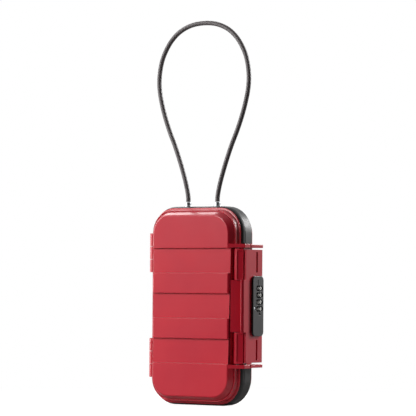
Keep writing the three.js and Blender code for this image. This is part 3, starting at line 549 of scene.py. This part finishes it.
# %% [markdown]
# The liners are cross-linked EVA foam, skived from a block: matt dark grey, with cut cells
# about 0.4 mm across. They are drawn at 0.7 mm so that they show. Each cell's colour darkens
# towards its hollow middle, as painted shade.

# %% Foam
CELL_SIZE = 0.7 * MM
CELL_DEPTH = 0.15 * MM

eva_foam, tree = new_material("skived EVA foam")
cell_depth_and_painted_shade = put(tree, "ShaderNodeTexVoronoi", {
    "Vector": put(tree, "ShaderNodeTexCoord").outputs["Object"], "Scale": 1 / CELL_SIZE,
})
# painted shade: each cell is darker towards its hollow middle, following the same depth as the
# bump
colour = put(tree, "ShaderNodeMix", {
    "Factor": cell_depth_and_painted_shade, COLOUR_A: paint("#2a2a2c"), COLOUR_B: paint("#39393b"),
}, data_type="RGBA").outputs[COLOUR_OUT]
hollows = put(tree, "ShaderNodeBump", {"Height": cell_depth_and_painted_shade, "Distance": CELL_DEPTH, "Strength": 1})
shader = put(tree, "ShaderNodeBsdfPrincipled", {
    "Base Color": colour, "Roughness": 0.95, "Sheen Weight": 0.25, "Sheen Roughness": 0.5,
    "Normal": hollows,
})
put(tree, "ShaderNodeOutputMaterial", {"Surface": shader})
print(len(bpy.data.materials), "materials, the vinyl's and the floor's among them")

# %% [markdown]
# ## Marks on the lock
#
# The lock's face has three marks: a line above the dials and an arrow below them, which show
# where a figure has to stand, and the hole of the reset button. The line and the arrow are cut
# by two slim prisms, which a Boolean takes out of the housing when it gets its soft edges. Paint
# would be simpler, but a cut catches the light as a moulded mark does.

# %% Cutters for the line and the arrow
DIAL_X, DIAL_Y = [(a + b) / 2 for a, b in list(zip(*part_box("dial_1")))[:2]]
LOCK_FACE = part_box("lock_housing")[1][0]
WINDOW_HALF = 2.6 * MM
MARK_DEPTH = 0.7 * MM
MARK_GAP = 0.9 * MM  # from a window to a mark
LINE_WIDTH = 0.8 * MM
LINE_LENGTH = 5 * MM
LINE_SHIFT = 2.6 * MM  # from the dials' middle towards the front
ARROW_WIDTH = 4.6 * MM
ARROW_HEIGHT = 2.6 * MM


def prism(name, outline, depth):
    """A cutter with an outline in y and z that reaches depth into the lock's face"""
    bm = bmesh.new()
    face = bm.faces.new([bm.verts.new((LOCK_FACE - depth, y, z)) for y, z in outline])
    raised = bmesh.ops.extrude_face_region(bm, geom=[face])["geom"]
    bmesh.ops.translate(bm, vec=(2 * depth, 0, 0),
                        verts=[v for v in raised if isinstance(v, bmesh.types.BMVert)])
    bmesh.ops.recalc_face_normals(bm, faces=bm.faces)
    mesh = bpy.data.meshes.new(name)
    bm.to_mesh(mesh)
    bm.free()
    return bpy.data.objects.new(name, mesh)


line_bottom = sum(corner[2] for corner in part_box("dial_1")) / 2 + WINDOW_HALF + MARK_GAP
line_y = DIAL_Y - LINE_SHIFT
arrow_top = sum(corner[2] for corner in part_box("dial_4")) / 2 - WINDOW_HALF - MARK_GAP
marks = [
    prism("index line", [
        (line_y - LINE_WIDTH / 2, line_bottom), (line_y + LINE_WIDTH / 2, line_bottom),
        (line_y + LINE_WIDTH / 2, line_bottom + LINE_LENGTH),
        (line_y - LINE_WIDTH / 2, line_bottom + LINE_LENGTH),
    ], MARK_DEPTH),
    prism("arrow", [
        (DIAL_Y - ARROW_WIDTH / 2, arrow_top - ARROW_HEIGHT),
        (DIAL_Y + ARROW_WIDTH / 2, arrow_top - ARROW_HEIGHT), (DIAL_Y, arrow_top),
    ], MARK_DEPTH),
]
print("line from", round(line_bottom / MM, 1), "mm up, arrow down from", round(arrow_top / MM, 1))

# %% [markdown]
# ## Recesses in the screws
#
# Every screw has a cross recess for the driver. A node tree makes one cross from two bars and
# sets a copy on each point of a small mesh, turned to the direction that the point keeps as an
# attribute. The points are the middles of the heads' faces, so one tree makes the cutter for
# all eight. Half of each cross stands out of its head, so that the cut goes clean through.

# %% Where the heads are
HEADS = {  # which way each screw's head faces
    "housing_screw_upper": (-1, 0, 0), "housing_screw_lower": (-1, 0, 0),
    "back_screw_upper": (-1, 0, 0), "back_screw_lower": (-1, 0, 0),
    "keeper_screw_front": (1, 0, 0), "keeper_screw_rear": (1, 0, 0),
    "retainer_screw_left": (0, 0, -1), "retainer_screw_right": (0, 0, -1),
}


def head_middle(node):
    """The middle of a screw head's outer face"""
    low, high = (Vector(corner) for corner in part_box(node))
    way = Vector(HEADS[node])
    return (low + high) / 2 + way * (high - low).dot(Vector(map(abs, way))) / 2


points = bpy.data.meshes.new("heads")
points.from_pydata([head_middle(node) for node in HEADS], [], [])
outward = points.attributes.new("outward", "FLOAT_VECTOR", "POINT")
for entry, direction in zip(outward.data, HEADS.values()):
    entry.vector = direction
heads = bpy.data.objects.new("heads", points)
scene.collection.objects.link(heads)
print(len(HEADS), "screw heads")

# %% A cross for each head
RECESS_SPAN = 2.3 * MM
RECESS_SLOT = 0.6 * MM
RECESS_DEPTH = 0.7 * MM
RECESS_SIZES = {"Span": RECESS_SPAN, "Slot": RECESS_SLOT, "Depth": RECESS_DEPTH}

tree, given = new_tree("cross recesses", RECESS_SIZES)
height = put(tree, "ShaderNodeMath", {0: given["Depth"], 1: 2.0}, operation="MULTIPLY")
bar_size = put(tree, "ShaderNodeCombineXYZ", {
    "X": given["Span"], "Y": given["Slot"], "Z": height,
})
bar = put(tree, "GeometryNodeMeshCube", {"Size": bar_size})
across = put(tree, "GeometryNodeTransform", {"Geometry": bar, "Rotation": (0, 0, pi / 2)})
cross = put(tree, "GeometryNodeMeshBoolean", {"Mesh 2": bar}, operation="UNION")
tree.links.new(across.outputs["Geometry"], cross.inputs["Mesh 2"])
facing = put(tree, "GeometryNodeInputNamedAttribute", {
    "Name": "outward",
}, data_type="FLOAT_VECTOR")
turned = put(tree, "FunctionNodeAlignRotationToVector", {"Vector": facing}, axis="Z")
placed = put(tree, "GeometryNodeInstanceOnPoints", {
    "Points": given["Geometry"], "Instance": cross, "Rotation": turned,
})
whole = put(tree, "GeometryNodeRealizeInstances", {"Geometry": placed})
plated = put(tree, "GeometryNodeSetMaterial", {"Geometry": whole, "Material": zinc_steel})
put(tree, "NodeGroupOutput", {"Geometry": plated})
recesses = grown(heads, tree, RECESS_SIZES, "recesses")
scene.collection.objects.unlink(recesses)

# %% [markdown]
# ## Soft edges
#
# No real edge is perfectly sharp: a mould or a press leaves a small round that catches the
# light. The CAD solids have sharp edges and faceted curves. A copy of each one is merged into
# whole faces, its outward edges are rounded by a Bevel, and its shading runs smoothly over the
# facets of a curve but stays flat on the flats, thanks to the Weighted Normal modifier.
#
# A Bevel has one width for the whole piece, and its own clamp would shrink that to suit the
# shortest edge anywhere. So the clamp is off, and each edge gets a weight from 0 to 1, worked
# out from the room that the faces beside it have.

# %% Room for a round
CURVE_ANGLE = radians(34)  # edges flatter than this belong to a curve
ON_ANGLE = radians(50)  # a sharp line that turns less than this runs on past a corner
ROOM_SHARE = 0.4  # how much of a face's breadth the round of one edge may take


def room_beside(edge, sharp):
    """How far the faces beside an edge reach before their next corner off its line"""
    room = []
    for loop in edge.link_loops:
        first, second = loop.link_loop_prev, loop.link_loop_next
        start, end = loop.vert.co, second.vert.co
        along = (end - start).normalized()
        for line, step in ((first.edge, start - first.vert.co),
                           (second.edge, second.link_loop_next.vert.co - end)):
            runs_on = line in sharp and along.angle(step, 0) < ON_ANGLE
            if not runs_on:
                room.append((step - along * step.dot(along)).length)
    return min(room, default=1)


def weigh_edges(mesh, width):
    """Gives each outward edge its share of a round's full width, from 0 to 1"""
    bm = bmesh.new()
    bm.from_mesh(mesh)
    weight = bm.edges.layers.float.new("bevel_weight_edge")
    sharp = {line for line in bm.edges if line.is_convex and line.calc_face_angle(0) > CURVE_ANGLE}
    for line in sharp:
        line[weight] = min(1, ROOM_SHARE * room_beside(line, sharp) / width)
    bm.to_mesh(mesh)
    bm.free()


# %% A softened copy of a CAD piece
WELD = 0.05 * MM  # corners nearer than this become one
FLAT = radians(0.6)  # triangles that turn less than this become one face
SHARP = radians(40)  # shading breaks at edges that turn more than this
ROUND_SEGMENTS = 3
LOADED_NORMALS = ("custom_normal", "sharp_edge", "sharp_face")


def apply_modifiers(piece):
    """Turns a piece's modifiers into its mesh"""
    bpy.context.view_layer.update()
    result = piece.evaluated_get(bpy.context.evaluated_depsgraph_get())
    before, after = piece.data, bpy.data.meshes.new_from_object(result)
    piece.modifiers.clear()
    piece.data = after
    bpy.data.meshes.remove(before)
    after.name = piece.name


def dressed(node, material, width, cutters=()):
    """A copy of a CAD piece with rounded edges, which then stands for it"""
    bm = bmesh.new()
    bm.from_mesh(nodes[node].data)
    bmesh.ops.remove_doubles(bm, verts=bm.verts, dist=WELD)
    bmesh.ops.dissolve_limit(bm, angle_limit=FLAT, verts=bm.verts, edges=bm.edges)
    mesh = bpy.data.meshes.new(node + "_finished")
    bm.to_mesh(mesh)
    bm.free()
    for name in LOADED_NORMALS:
        if name in mesh.attributes:
            mesh.attributes.remove(mesh.attributes[name])
    mesh.materials.clear()
    mesh.materials.append(material)
    piece = bpy.data.objects.new(mesh.name, mesh)
    scene.collection.objects.link(piece)
    for cutter in cutters:
        cut = piece.modifiers.new("cut", "BOOLEAN")
        cut.object = cutter
        cut.solver = "EXACT"
    apply_modifiers(piece)
    weigh_edges(piece.data, width)
    rounding = piece.modifiers.new("rounded edges", "BEVEL")
    rounding.width = width
    rounding.segments = ROUND_SEGMENTS
    rounding.limit_method = "WEIGHT"
    rounding.use_clamp_overlap = False
    apply_modifiers(piece)
    final = piece.data
    final.shade_smooth()
    final.set_sharp_from_angle(angle=SHARP)
    weighted = piece.modifiers.new("flat flats", "WEIGHTED_NORMAL")
    weighted.keep_sharp = True
    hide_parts(node)
    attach(piece, home[node])
    print(piece.name, len(final.polygons), "faces")
    return piece


# %% [markdown]
# Each piece gets the finish of its slot in the record and a round that suits how it is made:
# wide on the rubber and the foam, about a third of a millimetre on moulded plastic, and a mere
# broken edge on metal.

# %% Which finish and which round each piece has
FINISHES = {
    "red_shell": red_abs, "bumper_black": bumper_black, "lock_grey": lock_grey,
    "dial_black": dial_black, "steel": zinc_steel, "brass": rolled_brass,
    "liner_foam": eva_foam, "cable_vinyl": vinyl,
}
ROUNDS = {  # in millimetres
    "base_shell": 0.35, "lid_shell": 0.35, "base_bumper": 0.5, "lid_bumper": 0.5,
    "latch_flap": 0.3, "lock_housing": 0.25, "base_liner": 0.6, "lid_liner": 0.6,
}
SMALL_ROUND = 0.12
CUTTERS = {"lock_housing": marks} | {node: [recesses] for node in HEADS}
slots = {row["node"]: row["material_slot"] for row in frame["record"]["subparts"]}

for node, slot_name in slots.items():
    if node == "cable_loop":
        continue
    width = ROUNDS.get(node, SMALL_ROUND) * MM
    finished = dressed(node, FINISHES[slot_name], width, CUTTERS.get(node, ()))

# %% [markdown]
# ## Figures on the dials
#
# Each dial carries the figures 0 to 9 on its ten flats, moulded hollow and filled with white
# enamel. The safe stands on end, so the figures lie on their sides. One node tree writes all ten
# as a string and takes every character as an instance. It sets them in a column, as far apart as
# the flats are, fills and thickens them, and then rolls the column round the dial. The enamel is
# a thin plate that stands a hair out of the dial, which saves cutting forty hollows.

# %% A tree that writes round a dial
FIGURES = 10
FIGURE_SIZE = 4.3 * MM
FIGURE_BOLDNESS = 0.12 * MM  # how far the outlines of the plain font move outwards
FIGURE_STRETCH = 1.35  # wider figures than the plain font's
FIGURE_THICKNESS = 0.1 * MM
FIGURE_SINK = 0.05 * MM  # how deep its underside lies in the dial
OUTLINE_STEP = 0.2 * MM
FIGURE_WELD = 0.001 * MM
DIAL_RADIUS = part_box("dial_1")[1][0] - DIAL_X
FIGURE_SIZES = {
    "Dial Radius": DIAL_RADIUS, "Figure Size": FIGURE_SIZE, "Thickness": FIGURE_THICKNESS,
    "Sink": FIGURE_SINK, "Axis X": DIAL_X, "Axis Y": DIAL_Y, "Middle": 0.0,
    "Boldness": FIGURE_BOLDNESS, "Stretch": FIGURE_STRETCH,
}

tree, given = new_tree("figures round a dial", FIGURE_SIZES)
written = put(tree, "GeometryNodeStringToCurves", {
    "String": "0123456789", "Size": given["Figure Size"],
}, pivot_mode="MIDPOINT")
pitch = put(tree, "ShaderNodeMath", {
    0: given["Dial Radius"], 1: 2 * pi / FIGURES,
}, operation="MULTIPLY")
which = put(tree, "GeometryNodeInputIndex")
row = put(tree, "ShaderNodeMath", {0: which, 1: pitch}, operation="MULTIPLY")
column = put(tree, "ShaderNodeVectorMath", {
    0: put(tree, "ShaderNodeCombineXYZ", {"Y": row}), 1: written.outputs["Pivot Point"],
}, operation="SUBTRACT")
place = put(tree, "FunctionNodeCombineTransform", {"Translation": column})
stacked = put(tree, "GeometryNodeSetInstanceTransform", {
    "Instances": written, "Transform": place,
})
flat = put(tree, "GeometryNodeRealizeInstances", {"Geometry": stacked})
fine = put(tree, "GeometryNodeResampleCurve", {
    "Curve": flat, "Length": OUTLINE_STEP,
}, mode="LENGTH")

# %% The rest of the tree: bolder, thicker and round the dial
ahead = put(tree, "ShaderNodeSeparateXYZ", {
    "Vector": put(tree, "GeometryNodeInputTangent"),
}).outputs
back = put(tree, "ShaderNodeMath", {0: ahead["X"], 1: -1.0}, operation="MULTIPLY")
sideways = put(tree, "ShaderNodeCombineXYZ", {"X": ahead["Y"], "Y": back})
shift = put(tree, "ShaderNodeVectorMath", {
    0: sideways, "Scale": given["Boldness"],
}, operation="SCALE")
bolder = put(tree, "GeometryNodeSetPosition", {"Geometry": fine, "Offset": shift})
filled = put(tree, "GeometryNodeFillCurve", {"Curve": bolder})
raised = put(tree, "GeometryNodeExtrudeMesh", {
    "Mesh": filled, "Offset": (0, 0, 1), "Offset Scale": given["Thickness"],
    "Individual": False,
})
under = put(tree, "GeometryNodeFlipFaces", {"Mesh": filled})
both = put(tree, "GeometryNodeJoinGeometry", {"Geometry": under})
tree.links.new(raised.outputs["Mesh"], both.inputs["Geometry"])
closed = put(tree, "GeometryNodeMergeByDistance", {"Geometry": both, "Distance": FIGURE_WELD})

split = put(tree, "ShaderNodeSeparateXYZ", {
    "Vector": put(tree, "GeometryNodeInputPosition"),
}).outputs
angle = put(tree, "ShaderNodeMath", {0: split["Y"], 1: given["Dial Radius"]}, operation="DIVIDE")
height = put(tree, "ShaderNodeMath", {0: split["Z"], 1: given["Sink"]}, operation="SUBTRACT")
radius = put(tree, "ShaderNodeMath", {0: given["Dial Radius"], 1: height}, operation="ADD")
wide = put(tree, "ShaderNodeMath", {0: split["X"], 1: given["Stretch"]}, operation="MULTIPLY")
level = put(tree, "ShaderNodeMath", {0: given["Middle"], 1: wide}, operation="SUBTRACT")
rolled = put(tree, "ShaderNodeCombineXYZ", {"Z": level})
for axis, ratio in (("X", "COSINE"), ("Y", "SINE")):
    share = put(tree, "ShaderNodeMath", {0: angle}, operation=ratio)
    reach = put(tree, "ShaderNodeMath", {0: radius, 1: share}, operation="MULTIPLY")
    total = put(tree, "ShaderNodeMath", {0: given[f"Axis {axis}"], 1: reach}, operation="ADD")
    tree.links.new(total.outputs["Value"], rolled.inputs[axis])
placed = put(tree, "GeometryNodeSetPosition", {"Geometry": closed, "Position": rolled})
whole = put(tree, "GeometryNodeRealizeInstances", {"Geometry": placed})
enamelled = put(tree, "GeometryNodeSetMaterial", {
    "Geometry": whole, "Material": white_enamel,
})
put(tree, "NodeGroupOutput", {"Geometry": enamelled})
print(tree.name, "has", len(tree.nodes), "nodes")

# %% Write on the four dials
for number in range(1, 5):
    dial = f"dial_{number}"
    seed = bpy.data.objects.new("seed", bpy.data.meshes.new("seed"))
    scene.collection.objects.link(seed)
    middle = sum(corner[2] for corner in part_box(dial)) / 2
    figures = grown(seed, tree, FIGURE_SIZES | {"Middle": middle}, f"{dial}_figures")
    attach(figures, home[dial])

# %% [markdown]
# ## The cable and the box
#
# The swept cable stands for the plain one of the CAD model and rides on the base.

# %% The cable rides on the base
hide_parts("cable_loop")
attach(cable, "base")
